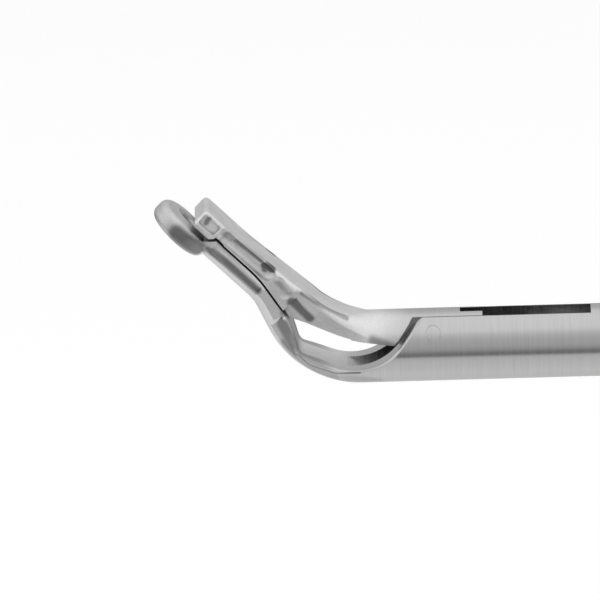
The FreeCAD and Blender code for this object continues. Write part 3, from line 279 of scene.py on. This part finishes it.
def place_in_mm(tree):
    """Object coordinates, scaled from metres to millimetres."""
    scaled = add_node(tree, "ShaderNodeVectorMath", operation="SCALE")
    tree.links.new(add_node(tree, "ShaderNodeTexCoord").outputs["Object"], scaled.inputs[0])
    scaled.inputs["Scale"].default_value = 1000.0
    return scaled.outputs[0]


def split(tree, vector):
    """The three coordinates of a vector."""
    parts = add_node(tree, "ShaderNodeSeparateXYZ")
    tree.links.new(vector, parts.inputs[0])
    return parts.outputs["X"], parts.outputs["Y"], parts.outputs["Z"]


# %% [markdown]
# A grain is a noise that is stretched: many grains per millimetre in one direction and few in another give
# the grooves of a lathe, and the same number in all directions gives the even grain of glass beads.
# Noise has its values mostly between 0.3 and 0.7, so that stretch is what gets carried to the range of
# tones or roughness that is wanted.

# %% Patterns
NOISE_LOW = 0.3
NOISE_HIGH = 0.7


def noise(tree, place, grains_per_mm, detail):
    """Noise between 0 and 1 with its own number of grains per millimetre along X, Y and Z."""
    stretched = add_node(tree, "ShaderNodeVectorMath", operation="MULTIPLY")
    tree.links.new(place, stretched.inputs[0])
    stretched.inputs[1].default_value = grains_per_mm
    texture = add_node(tree, "ShaderNodeTexNoise")
    texture.inputs["Scale"].default_value = 1.0
    texture.inputs["Detail"].default_value = detail
    tree.links.new(stretched.outputs[0], texture.inputs["Vector"])
    return texture.outputs["Fac"]


def ranged(tree, value, low, high, to_low, to_high, kind="LINEAR"):
    """Carries a value from one range to another and stops at its ends."""
    node = add_node(tree, "ShaderNodeMapRange", interpolation_type=kind)
    tree.links.new(value, node.inputs["Value"])
    for name, number in (("From Min", low), ("From Max", high), ("To Min", to_low), ("To Max", to_high)):
        node.inputs[name].default_value = number
    return node.outputs["Result"]


def varied(tree, pattern, limits, scale=1.0):
    """Carries a noise to the range between two limits, both times the scale."""
    lowest, highest = limits
    return ranged(tree, pattern, NOISE_LOW, NOISE_HIGH, lowest * scale, highest * scale)


def blend(tree, share, first, second):
    """first where the share is 0, second where it is 1; both are numbers or outputs."""
    change = maths(tree, "SUBTRACT", second, first)
    return maths(tree, "ADD", first, maths(tree, "MULTIPLY", share, change))


def grey(tree, level, socket):
    """Writes one level to a colour socket as a neutral grey."""
    colour = add_node(tree, "ShaderNodeCombineColor")
    for channel in ("Red", "Green", "Blue"):
        tree.links.new(level, colour.inputs[channel])
    tree.links.new(colour.outputs[0], socket)


# %% [markdown]
# Three things change how a surface catches the light without a change to its solid: a height pattern tilts
# the shading, a place can lean upwards as a whole, and a narrow gap gets painted shade in its colour,
# where little light reaches it.

# %% Relief and gaps
EDGE_SAMPLES = 4
GAP_SAMPLES = 8


def bumped(tree, height, depth_mm, edge_mm=0.0):
    """The normal tilted by a height pattern; edge_mm also rounds the sharp edges in the shading."""
    node = add_node(tree, "ShaderNodeBump")
    node.inputs["Strength"].default_value = 1.0
    node.inputs["Distance"].default_value = depth_mm * MM
    tree.links.new(height, node.inputs["Height"])
    if edge_mm:
        soft = add_node(tree, "ShaderNodeBevel", samples=EDGE_SAMPLES)
        soft.inputs["Radius"].default_value = edge_mm * MM
        tree.links.new(soft.outputs[0], node.inputs["Normal"])
    return node.outputs[0]


def leaning_up(tree, normal, lean):
    """The normal turned upwards: normal plus lean times +Z, made one long again."""
    upwards = add_node(tree, "ShaderNodeCombineXYZ")
    tree.links.new(lean, upwards.inputs["Z"])
    total = add_node(tree, "ShaderNodeVectorMath", operation="ADD")
    tree.links.new(normal, total.inputs[0])
    tree.links.new(upwards.outputs[0], total.inputs[1])
    unit = add_node(tree, "ShaderNodeVectorMath", operation="NORMALIZE")
    tree.links.new(total.outputs[0], unit.inputs[0])
    return unit.outputs[0]


def painted_gap_shade(tree, reach_mm, shut, clear, darkest):
    """The share of the tone that is left under painted shade: darkest where other surfaces stand close in
    front, 1 where none does. shut and clear say how open a place is at these two ends, from 0 to 1."""
    node = add_node(tree, "ShaderNodeAmbientOcclusion", samples=GAP_SAMPLES)
    node.inputs["Distance"].default_value = reach_mm * MM
    return ranged(tree, node.outputs["AO"], shut, clear, darkest, 1.0)


# %% [markdown]
# The tip is one turned and milled bar with two finishes. Its round part was finished on the lathe, so fine
# grooves run round it. The bent jaw was blasted with glass beads after milling: an even, fine grain that
# spreads reflections and makes the metal paler.
# The recesses are darkened in their colour as painted shade, more than their solids' own shading gives.
# The ridges beside the recesses catch more light, as edges do that were dressed by hand. The solids leave
# that fine rounding out, so the shading leans these places upwards a little, towards a lighter part of the
# room.
# Each such place is a capsule in the jaw's own side view: a short line with a radius and a soft edge,
# given by its distance along the jaw and across it. The jaw bends up by 45 degrees, so "along" is the
# direction (-1, 1) in X and Z, and "across" is (1, 1).

# %% Places on the jaw
# (first end along and across, second end along and across, radius, soft edge, darkness of the painted
# shade), in mm
# Painted shade in the lower jaw's recesses, under its eyelet and on its heel
LOWER_PAINTED_SHADES = [
    # The long groove below the mouth
    (15.7, -4.60, 14.2, -4.46, 0.10, 0.30, 0.64),
    (14.2, -4.46, 11.2, -4.38, 0.10, 0.30, 0.68),
    # The underside of the eyelet's ring
    (18.1, -5.10, 16.2, -5.00, 0.34, 0.45, 0.62),
    # The ground step on the heel
    (8.2, -5.05, 6.5, -5.60, 0.25, 0.30, 0.50),
    # The corner at the back of the mouth
    (9.2, -3.80, 8.8, -4.30, 0.10, 0.35, 0.46),
    # The belly of the heel, and on below the seat
    (6.8, -6.00, 3.2, -5.60, 0.45, 0.50, 0.38),
    (3.2, -5.60, 0.5, -3.90, 0.40, 0.50, 0.22),
    # The fine line round the outside of the seat
    (6.1, -5.85, 4.9, -5.85, 0.02, 0.10, 0.66),
    (4.9, -5.85, 3.3, -5.05, 0.02, 0.10, 0.66),
    (3.3, -5.05, 2.1, -3.80, 0.02, 0.10, 0.66),
]
# Painted shade in the upper jaw's recesses and on its toe
UPPER_PAINTED_SHADES = [
    # The pocket in the nose, and the dip behind it
    (17.1, -2.90, 17.0, -3.40, 0.06, 0.18, 0.58),
    (15.5, -3.00, 15.0, -2.92, 0.12, 0.25, 0.44),
    # The long groove above the mouth, and its deep end
    (14.7, -2.88, 12.4, -2.74, 0.05, 0.22, 0.66),
    (12.0, -2.80, 11.5, -2.68, 0.20, 0.18, 0.80),
    (11.8, -3.00, 11.8, -3.00, 0.14, 0.20, 0.66),
    # The shallow recess behind the groove
    (10.7, -3.05, 9.5, -3.05, 0.05, 0.26, 0.34),
    # The scoop in front of the window
    (8.9, -3.40, 7.2, -3.42, 0.20, 0.26, 0.68),
    # The line below the rib
    (8.9, -2.48, 7.4, -2.28, 0.03, 0.16, 0.56),
    (7.4, -2.28, 5.3, -1.72, 0.03, 0.20, 0.48),
    # The toe that rests on the seat
    (3.1, -1.50, 1.5, -0.75, 0.08, 0.42, 0.50),
]
# The same, with the lean upwards last
LOWER_RIDGES = [
    # The edge between the mouth and the long groove
    (15.2, -4.02, 11.0, -3.94, 0.10, 0.14, 0.60),
    # The edge in front of the heel's step
    (8.8, -5.15, 8.5, -4.60, 0.06, 0.12, 0.60),
]
UPPER_RIDGES = [
    # The lower rim of the nose, and the floor of its pocket
    (17.5, -3.50, 16.0, -3.75, 0.15, 0.20, 0.35),
    (16.5, -3.20, 16.0, -3.20, 0.20, 0.25, 0.45),
    # The rail above the long groove
    (15.0, -2.55, 12.5, -2.30, 0.10, 0.12, 0.50),
    # The edge above the shallow recess
    (10.9, -2.60, 9.4, -2.62, 0.08, 0.20, 0.45),
]


def jaw_place(tree, place):
    """Distance along the 45 degree jaw and across it, the coordinates of the side view."""
    x, _, z = split(tree, place)
    along = maths(tree, "MULTIPLY", maths(tree, "SUBTRACT", z, x), math.sqrt(0.5))
    across = maths(tree, "MULTIPLY", maths(tree, "ADD", z, x), math.sqrt(0.5))
    return along, across


def length_of(tree, first, second):
    """The length of a vector of two parts, the root of the sum of their squares."""
    squares = [maths(tree, "MULTIPLY", part, part) for part in (first, second)]
    return maths(tree, "SQRT", maths(tree, "ADD", *squares))


def capsule(tree, along, across, first, second, radius, soft):
    """1 within a radius of a short line, 0 beyond the soft edge.
    The nearest point of the line is first + t (second - first), with t held between 0 and 1."""
    run = np.subtract(second, first)
    run_along, run_across = float(run[0]), float(run[1])
    from_along = maths(tree, "SUBTRACT", along, first[0])
    from_across = maths(tree, "SUBTRACT", across, first[1])
    dot = maths(tree, "ADD", maths(tree, "MULTIPLY", from_along, run_along),
                maths(tree, "MULTIPLY", from_across, run_across))
    share = ranged(tree, dot, 0.0, float(run @ run), 0.0, 1.0)
    miss_along = maths(tree, "SUBTRACT", from_along, maths(tree, "MULTIPLY", share, run_along))
    miss_across = maths(tree, "SUBTRACT", from_across, maths(tree, "MULTIPLY", share, run_across))
    distance = length_of(tree, miss_along, miss_across)
    return ranged(tree, distance, radius, radius + soft, 1.0, 0.0, "SMOOTHSTEP")


def strongest(tree, along, across, places):
    """0 on the open metal, and inside the capsules the largest of their strengths."""
    most = None
    for first_along, first_across, second_along, second_across, radius, soft, strength in places:
        first = (first_along, first_across)
        second = (second_along, second_across)
        inside = capsule(tree, along, across, first, second, radius, soft)
        share = maths(tree, "MULTIPLY", inside, strength)
        most = share if most is None else maths(tree, "MAXIMUM", most, share)
    return most


print("recesses:", len(LOWER_PAINTED_SHADES), "low and", len(UPPER_PAINTED_SHADES), "high,",
      "ridges:", len(LOWER_RIDGES), "low and", len(UPPER_RIDGES), "high")

# %% [markdown]
# The sawn slot is darkened in its colour as painted shade, for the shadow inside it. It is known by its
# place: close to the middle plane, inside the bar's round surface, and behind the mouth.

# %% Sawn slot
# Just over half the slot's width, just under the bar's radius, and a plane ahead of the slot, in mm
SLOT_HALF = 1.02
BAR_INSIDE = 2.46
SLOT_FRONT = -5.0


def in_slot(tree, place):
    """1 on the walls and the floor of the sawn slot, which lie inside the bar's round surface."""
    x, y, z = split(tree, place)
    near_middle = maths(tree, "LESS_THAN", maths(tree, "ABSOLUTE", y), SLOT_HALF)
    inside = maths(tree, "LESS_THAN", length_of(tree, y, z), BAR_INSIDE)
    behind_front = maths(tree, "GREATER_THAN", x, SLOT_FRONT)
    return maths(tree, "MULTIPLY", behind_front, maths(tree, "MULTIPLY", near_middle, inside))


print("dark slot:", 2 * SLOT_HALF, "mm wide, from x =", SLOT_FRONT, "mm on")

# %% [markdown]
# Both jaws share one finish. They differ in their recesses, in where the blasting gives way to the lathe's
# grooves, and in the eyelet, which has painted shade that makes it a little darker than the rest of the
# lower jaw.
# The recesses are there on both flanks, and the flanks stand well off the middle plane, so the painted
# shades stop short of the top and the mouth faces. Where two faces stand close together, as in the mouth,
# the metal's colour is darkened as painted shade.

# %% Tip and jaw steel
GROOVES = (7.0, 0.30, 0.30)
BEADS = (6.0, 6.0, 6.0)
JAW_CLOUDS = (0.6, 0.6, 0.6)
SHAFT_GREY = 0.64
JAW_GREY = 0.93
# Lowest and highest tone, as shares of the grey, and lowest and highest roughness
GROOVE_TONES = (0.96, 1.03)
JAW_CLOUD_TONES = (0.94, 1.03)
BEAD_TONES = (0.95, 1.04)
SHAFT_ROUGHNESS = (0.17, 0.23)
JAW_ROUGHNESS = (0.41, 0.49)
# The share of the tone left in the slot under its painted shade
SLOT_PAINTED_SHADE = 0.85
# The flanks begin this far from the middle plane, and the eyelet's painted shade this far along the jaw
FLANK_START, FLANK_FULL = 1.15, 1.25
END_START, END_FULL = 15.6, 16.8
TIP_GRAIN_DEPTH = 0.010
TIP_EDGE_ROUNDING = 0.05


def tip_material(name, painted_shades, ridges, blast_start, blast_end, end_painted_shade):
    """Brushed round the shaft, bead satin on the jaw, with painted shade in the slot, the recesses and
    narrow gaps.
    The finish changes between two distances along the jaw, and its end keeps a share of the tone, the rest
    being painted shade."""
    material, tree, shader = new_material(name)
    shader.inputs["Metallic"].default_value = 1.0
    place = place_in_mm(tree)
    grooves = noise(tree, place, GROOVES, detail=3.0)
    beads = noise(tree, place, BEADS, detail=2.0)
    clouds = noise(tree, place, JAW_CLOUDS, detail=2.0)
    along, across = jaw_place(tree, place)
    jaw = ranged(tree, along, blast_start, blast_end, 0.0, 1.0, "SMOOTHSTEP")
    shaft_tone = varied(tree, grooves, GROOVE_TONES, SHAFT_GREY)
    jaw_tone = varied(tree, clouds, JAW_CLOUD_TONES, JAW_GREY)
    jaw_tone = maths(tree, "MULTIPLY", jaw_tone, varied(tree, beads, BEAD_TONES))
    side = maths(tree, "ABSOLUTE", split(tree, place)[1])
    on_flank = ranged(tree, side, FLANK_START, FLANK_FULL, 0.0, 1.0)
    painted_shade = maths(tree, "MULTIPLY", on_flank, strongest(tree, along, across, painted_shades))
    lean = maths(tree, "MULTIPLY", on_flank, strongest(tree, along, across, ridges))
    tone = blend(tree, jaw, shaft_tone, jaw_tone)
    # Each share below darkens the tone as painted shade: recesses, narrow gaps, the eyelet end and the
    # slot
    for share in (
        maths(tree, "SUBTRACT", 1.0, painted_shade),
        painted_gap_shade(tree, reach_mm=0.6, shut=0.10, clear=0.55, darkest=0.30),
        ranged(tree, along, END_START, END_FULL, 1.0, end_painted_shade),
        ranged(tree, in_slot(tree, place), 0.0, 1.0, 1.0, SLOT_PAINTED_SHADE),
    ):
        tone = maths(tree, "MULTIPLY", tone, share)
    grey(tree, tone, shader.inputs["Base Color"])
    shaft_rough = varied(tree, grooves, SHAFT_ROUGHNESS)
    jaw_rough = varied(tree, clouds, JAW_ROUGHNESS)
    tree.links.new(blend(tree, jaw, shaft_rough, jaw_rough), shader.inputs["Roughness"])
    normal = bumped(tree, blend(tree, jaw, grooves, beads), TIP_GRAIN_DEPTH, TIP_EDGE_ROUNDING)
    tree.links.new(leaning_up(tree, normal, lean), shader.inputs["Normal"])
    return material


tip_steel = tip_material("tip_steel", LOWER_PAINTED_SHADES, LOWER_RIDGES, blast_start=1.8, blast_end=3.8,
                         end_painted_shade=0.80)
jaw_steel = tip_material("jaw_steel", UPPER_PAINTED_SHADES, UPPER_RIDGES, blast_start=1.6, blast_end=4.0,
                         end_painted_shade=1.0)
print("tip finishes:", tip_steel.name, "and", jaw_steel.name)

# %% [markdown]
# The long tube has the same lathe grooves as the round end of the tip. The handle and the port are bead
# satin like the jaw. The collar and the small turned fittings show fine turning marks. The rod with its
# blade and ball, the drive pin, and the handle's screw and nut are ground bright. One function serves them
# all, because they differ only in tone, roughness and the stretch of the grain. The guides and the washers
# are white plastic, and the seal is black rubber.

# %% Steel, plastic and rubber
STEEL_CLOUDS = (0.15, 0.15, 0.15)
STEEL_CLOUD_TONES = (0.94, 1.04)
STEEL_GRAIN_TONES = (0.96, 1.03)
STEEL_ROUGHNESS = (0.93, 1.07)
STEEL_GAP_REACH = 2.0
STEEL_EDGE_ROUNDING = 0.12
SOFT_GRAIN_TONES = (0.92, 1.04)
SOFT_ROUGHNESS = (0.9, 1.1)


def steel(name, tone, roughness, grains, depth_mm):
    """A steel with a grain; narrow places get painted shade in its colour."""
    material, tree, shader = new_material(name)
    shader.inputs["Metallic"].default_value = 1.0
    place = place_in_mm(tree)
    grain = noise(tree, place, grains, detail=3.0)
    clouds = noise(tree, place, STEEL_CLOUDS, detail=2.0)
    clouded = maths(tree, "MULTIPLY", varied(tree, grain, STEEL_GRAIN_TONES, tone),
                    varied(tree, clouds, STEEL_CLOUD_TONES))
    # Painted shade where other surfaces stand close in front
    narrow = painted_gap_shade(tree, STEEL_GAP_REACH, shut=0.10, clear=0.70, darkest=0.15)
    grey(tree, maths(tree, "MULTIPLY", clouded, narrow), shader.inputs["Base Color"])
    tree.links.new(varied(tree, clouds, STEEL_ROUGHNESS, roughness), shader.inputs["Roughness"])
    tree.links.new(bumped(tree, grain, depth_mm, STEEL_EDGE_ROUNDING), shader.inputs["Normal"])
    return material


def soft_material(name, colour, roughness, grains, depth_mm):
    """A plastic or rubber with a little mottling and a fine grain."""
    material, tree, shader = new_material(name)
    place = place_in_mm(tree)
    grain = noise(tree, place, grains, detail=3.0)
    mottle = add_node(tree, "ShaderNodeHueSaturation")
    mottle.inputs["Color"].default_value = (*colour, 1.0)
    tree.links.new(varied(tree, grain, SOFT_GRAIN_TONES), mottle.inputs["Value"])
    tree.links.new(mottle.outputs[0], shader.inputs["Base Color"])
    tree.links.new(varied(tree, grain, SOFT_ROUGHNESS, roughness), shader.inputs["Roughness"])
    tree.links.new(bumped(tree, grain, depth_mm), shader.inputs["Normal"])
    return material


finishes = {
    "tip": tip_steel,
    "jaw": jaw_steel,
    "tube": steel("brushed_tube", tone=0.64, roughness=0.20, grains=GROOVES, depth_mm=0.012),
    "satin": steel("bead_satin", tone=0.74, roughness=0.34, grains=(5.0, 5.0, 5.0), depth_mm=0.012),
    "turned": steel("turned_satin", tone=0.70, roughness=0.26, grains=(5.0, 0.3, 0.3), depth_mm=0.012),
    "bright": steel("bright_ground", tone=0.80, roughness=0.10, grains=(9.0, 0.4, 0.4), depth_mm=0.002),
    "plastic": soft_material("white_plastic", colour=(0.80, 0.80, 0.77), roughness=0.40,
                             grains=(3.0, 3.0, 3.0), depth_mm=0.003),
    "rubber": soft_material("black_rubber", colour=(0.035, 0.035, 0.038), roughness=0.55,
                            grains=(4.0, 4.0, 4.0), depth_mm=0.004),
}
print("finishes:", ", ".join(finishes))

# %% [markdown]
# Each solid wears one finish. The jaw's pin was ground flush with the shaft after it was pressed in, so it
# has the finish of the tip and hardly shows.

# %% Dressing the solids
WORN_BY = {
    "tip": ["shaft_tip", "jaw_pin"],
    "jaw": ["upper_jaw"],
    "tube": ["shaft_tube"],
    "satin": ["fixed_handle", "moving_handle", "flush_port"],
    "turned": ["shaft_collar", "gland_screw", "shaft_lock_screw", "rod_lock_nut"],
    "bright": ["draw_rod", "rod_end", "drive_pin", "rod_ball", "handle_screw", "handle_nut"],
    "plastic": ["rod_guides", "pivot_washers"],
    "rubber": ["rod_seal"],
}


def dress(node, material):
    """Gives a solid one material."""
    node.data.materials.clear()
    node.data.materials.append(material)


for finish, names in WORN_BY.items():
    for name in names:
        dress(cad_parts[name], finishes[finish])
dressed = sum(WORN_BY.values(), [])
print("dressed:", len(dressed), "of", len(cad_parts), "solids")
